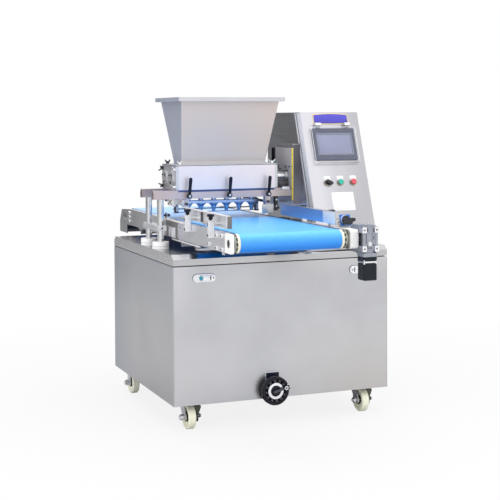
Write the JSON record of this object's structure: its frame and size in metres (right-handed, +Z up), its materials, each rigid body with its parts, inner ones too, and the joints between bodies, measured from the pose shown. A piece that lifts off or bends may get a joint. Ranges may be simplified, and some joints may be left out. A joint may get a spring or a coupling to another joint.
{
  "type": "bakery depositing machine",
  "caption": "Mobile cookie depositor: steel cabinet on braked casters, belt conveyor, height-adjustable roller head with hopper and nozzles, wire cutter and leaning control tower.",
  "frame": {"origin": "on the floor, at the middle of the outline seen from above", "axes": "+X to the operator's right, +Y from the operator's side to the rear along the belt, +Z up"},
  "size_m": [0.956, 1.562, 1.35],
  "materials": {
    "stainless": "brushed stainless sheet",
    "bright_bar": "ground stainless bar",
    "machined_aluminium": "satin machined aluminium",
    "cast_aluminium": "fine cast aluminium",
    "frame_steel": "painted angle steel",
    "zinc_steel": "zinc-plated pressed steel",
    "nylon_white": "turned white nylon",
    "nylon_ivory": "moulded ivory nylon",
    "belt_blue": "smooth blue food belt",
    "black_plastic": "moulded black plastic",
    "motor_black": "black paint",
    "lead_black": "black cable sheath",
    "panel_grey": "slate-grey moulded bezel",
    "clear_cover": "clear moulded plastic",
    "switch_green": "green push button",
    "switch_red": "red push button",
    "latch_steel": "polished latch plate"
  },
  "bodies": {
    "machine": {"base_frame": "frame_steel", "cabinet_skin": "stainless", "front_panel": "stainless", "top_deck": "stainless", "caster_mounts": "zinc_steel", "rear_caster_forks": "zinc_steel", "column_bushings": "nylon_white", "conveyor_rails": "stainless", "conveyor_bed": "stainless", "conveyor_belt": "belt_blue", "drum_bearing_blocks": "nylon_white", "gearbox": "cast_aluminium", "conveyor_motor": "motor_black", "motor_lead": "lead_black", "guide_posts": "machined_aluminium", "tower_shell": "stainless", "tower_front": "stainless", "hmi_panel": "panel_grey", "switch_bezels": "black_plastic", "door_latches": "latch_steel"},
    "head": {"head_columns": "bright_bar", "column_link": "machined_aluminium", "head_frame": "stainless", "pump_housing": "machined_aluminium", "end_plates": "machined_aluminium", "hopper": "stainless", "nozzle_bar": "machined_aluminium", "nozzles": "bright_bar", "feed_motor": "cast_aluminium"},
    "drive_roller": {"drive_roller": "nylon_ivory"},
    "tail_roller": {"tail_roller": "nylon_ivory"},
    "left_guide": {"left_guide": "stainless"},
    "right_guide": {"right_guide": "stainless"},
    "left_front_knob": {"left_front_knob": "black_plastic"},
    "left_rear_knob": {"left_rear_knob": "black_plastic"},
    "right_front_knob": {"right_front_knob": "black_plastic"},
    "right_rear_knob": {"right_rear_knob": "black_plastic"},
    "front_left_fork": {"front_left_fork": "zinc_steel"},
    "front_right_fork": {"front_right_fork": "zinc_steel"},
    "front_left_wheel": {"front_left_wheel": "nylon_ivory"},
    "front_right_wheel": {"front_right_wheel": "nylon_ivory"},
    "rear_left_wheel": {"rear_left_wheel": "nylon_ivory"},
    "rear_right_wheel": {"rear_right_wheel": "nylon_ivory"},
    "front_left_brake_pedal": {"front_left_brake_pedal": "black_plastic"},
    "front_right_brake_pedal": {"front_right_brake_pedal": "black_plastic"},
    "handwheel": {"handwheel": "black_plastic"},
    "crank_handle": {"crank_handle": "black_plastic"},
    "hmi_cover": {"hmi_cover": "clear_cover"},
    "selector_knob": {"selector_knob": "black_plastic"},
    "start_button": {"start_button": "switch_green"},
    "stop_button": {"stop_button": "switch_red"},
    "isolator_handle": {"isolator_handle": "black_plastic"},
    "left_latch_button": {"left_latch_button": "machined_aluminium"},
    "right_latch_button": {"right_latch_button": "machined_aluminium"},
    "feed_roller_front": {"feed_roller_front": "nylon_white"},
    "feed_roller_rear": {"feed_roller_rear": "nylon_white"},
    "clamp_lever_left": {"clamp_lever_left": "black_plastic"},
    "clamp_lever_middle": {"clamp_lever_middle": "black_plastic"},
    "clamp_lever_right": {"clamp_lever_right": "black_plastic"},
    "wire_cutter": {"wire_cutter": "bright_bar"}
  },
  "joints": [
    {"name": "head_lift", "type": "slide", "parent": "machine", "child": "head", "axis": [0, 0, 1], "range_m": [-0.015, 0.06]},
    {"name": "drive_roller_spin", "type": "hinge", "parent": "machine", "child": "drive_roller", "pos_m": [-0.147, -0.71, 0.7975], "axis": [1, 0, 0], "continuous": true},
    {"name": "tail_roller_spin", "type": "hinge", "parent": "machine", "child": "tail_roller", "pos_m": [-0.147, 0.686, 0.7975], "axis": [1, 0, 0], "continuous": true},
    {"name": "feed_front_spin", "type": "hinge", "parent": "head", "child": "feed_roller_front", "pos_m": [-0.147, -0.0055, 1.0105], "axis": [1, 0, 0], "continuous": true},
    {"name": "feed_rear_spin", "type": "hinge", "parent": "head", "child": "feed_roller_rear", "pos_m": [-0.147, 0.0835, 1.0105], "axis": [1, 0, 0], "continuous": true},
    {"name": "cutter_stroke", "type": "slide", "parent": "head", "child": "wire_cutter", "axis": [0, 1, 0], "range_m": [-0.084, 0]},
    {"name": "clamp_left_turn", "type": "hinge", "parent": "head", "child": "clamp_lever_left", "pos_m": [-0.327, -0.073, 0.935], "axis": [0, 1, 0], "range_deg": [-60, 60]},
    {"name": "clamp_middle_turn", "type": "hinge", "parent": "head", "child": "clamp_lever_middle", "pos_m": [-0.147, -0.073, 0.935], "axis": [0, 1, 0], "range_deg": [-60, 60]},
    {"name": "clamp_right_turn", "type": "hinge", "parent": "head", "child": "clamp_lever_right", "pos_m": [0.033, -0.073, 0.935], "axis": [0, 1, 0], "range_deg": [-60, 60]},
    {"name": "left_guide_slide", "type": "slide", "parent": "machine", "child": "left_guide", "axis": [1, 0, 0], "range_m": [0, 0.014]},
    {"name": "left_front_knob_turn", "type": "hinge", "parent": "machine", "child": "left_front_knob", "pos_m": [-0.402, -0.552, 0.873], "axis": [0, 0, 1], "range_deg": [0, 270]},
    {"name": "left_rear_knob_turn", "type": "hinge", "parent": "machine", "child": "left_rear_knob", "pos_m": [-0.402, -0.276, 0.873], "axis": [0, 0, 1], "range_deg": [0, 270]},
    {"name": "right_guide_slide", "type": "slide", "parent": "machine", "child": "right_guide", "axis": [-1, 0, 0], "range_m": [0, 0.014]},
    {"name": "right_front_knob_turn", "type": "hinge", "parent": "machine", "child": "right_front_knob", "pos_m": [0.108, -0.552, 0.873], "axis": [0, 0, 1], "range_deg": [0, 270]},
    {"name": "right_rear_knob_turn", "type": "hinge", "parent": "machine", "child": "right_rear_knob", "pos_m": [0.108, -0.276, 0.873], "axis": [0, 0, 1], "range_deg": [0, 270]},
    {"name": "front_left_swivel", "type": "hinge", "parent": "machine", "child": "front_left_fork", "pos_m": [-0.39, -0.209, 0.113], "axis": [0, 0, 1], "continuous": true},
    {"name": "front_left_wheel_spin", "type": "hinge", "parent": "front_left_fork", "child": "front_left_wheel", "pos_m": [-0.39, -0.244, 0.05], "axis": [1, 0, 0], "continuous": true},
    {"name": "front_left_brake", "type": "hinge", "parent": "front_left_fork", "child": "front_left_brake_pedal", "pos_m": [-0.39, -0.244, 0.05], "axis": [1, 0, 0], "range_deg": [-15, 0]},
    {"name": "front_right_swivel", "type": "hinge", "parent": "machine", "child": "front_right_fork", "pos_m": [0.39, -0.209, 0.113], "axis": [0, 0, 1], "continuous": true},
    {"name": "front_right_wheel_spin", "type": "hinge", "parent": "front_right_fork", "child": "front_right_wheel", "pos_m": [0.39, -0.244, 0.05], "axis": [1, 0, 0], "continuous": true},
    {"name": "front_right_brake", "type": "hinge", "parent": "front_right_fork", "child": "front_right_brake_pedal", "pos_m": [0.39, -0.244, 0.05], "axis": [1, 0, 0], "range_deg": [-15, 0]},
    {"name": "rear_left_wheel_spin", "type": "hinge", "parent": "machine", "child": "rear_left_wheel", "pos_m": [-0.42, 0.465, 0.05], "axis": [1, 0, 0], "continuous": true},
    {"name": "rear_right_wheel_spin", "type": "hinge", "parent": "machine", "child": "rear_right_wheel", "pos_m": [0.42, 0.465, 0.05], "axis": [1, 0, 0], "continuous": true},
    {"name": "handwheel_turn", "type": "hinge", "parent": "machine", "child": "handwheel", "pos_m": [-0.054, -0.319, 0.148], "axis": [0, 1, 0], "continuous": true},
    {"name": "crank_fold", "type": "hinge", "parent": "handwheel", "child": "crank_handle", "pos_m": [-0.00257, -0.3668, 0.16275], "axis": [-0.2756, 0, 0.9613], "range_deg": [0, 90]},
    {"name": "cover_hinge", "type": "hinge", "parent": "machine", "child": "hmi_cover", "pos_m": [0.337, -0.07634, 1.23166], "axis": [-1, 0, 0], "range_deg": [0, 100]},
    {"name": "selector_turn", "type": "hinge", "parent": "machine", "child": "selector_knob", "pos_m": [0.2771, -0.15525, 0.98222], "axis": [0, -0.9438, 0.3306], "range_deg": [-45, 45]},
    {"name": "isolator_turn", "type": "hinge", "parent": "machine", "child": "isolator_handle", "pos_m": [0.3335, -0.21163, 0.82131], "axis": [0, -0.9438, 0.3306], "range_deg": [0, 90]},
    {"name": "start_press", "type": "slide", "parent": "machine", "child": "start_button", "axis": [0, 0.9438, -0.3306], "range_m": [0, 0.004], "stiffness_N_per_m": 600, "springref_m": -0.003},
    {"name": "stop_press", "type": "slide", "parent": "machine", "child": "stop_button", "axis": [0, 0.9438, -0.3306], "range_m": [0, 0.004], "stiffness_N_per_m": 600, "springref_m": -0.003},
    {"name": "left_latch_press", "type": "slide", "parent": "machine", "child": "left_latch_button", "axis": [0, 1, 0], "range_m": [0, 0.003], "stiffness_N_per_m": 600, "springref_m": -0.003},
    {"name": "right_latch_press", "type": "slide", "parent": "machine", "child": "right_latch_button", "axis": [0, 1, 0], "range_m": [0, 0.003], "stiffness_N_per_m": 600, "springref_m": -0.003}
  ],
  "couplings": [
    {"joint": "tail_roller_spin", "follows": "drive_roller_spin", "ratio": 1},
    {"joint": "feed_rear_spin", "follows": "feed_front_spin", "ratio": -1},
    {"joint": "handwheel_turn", "follows": "head_lift", "rad_per_m": 314.16}
  ]
}
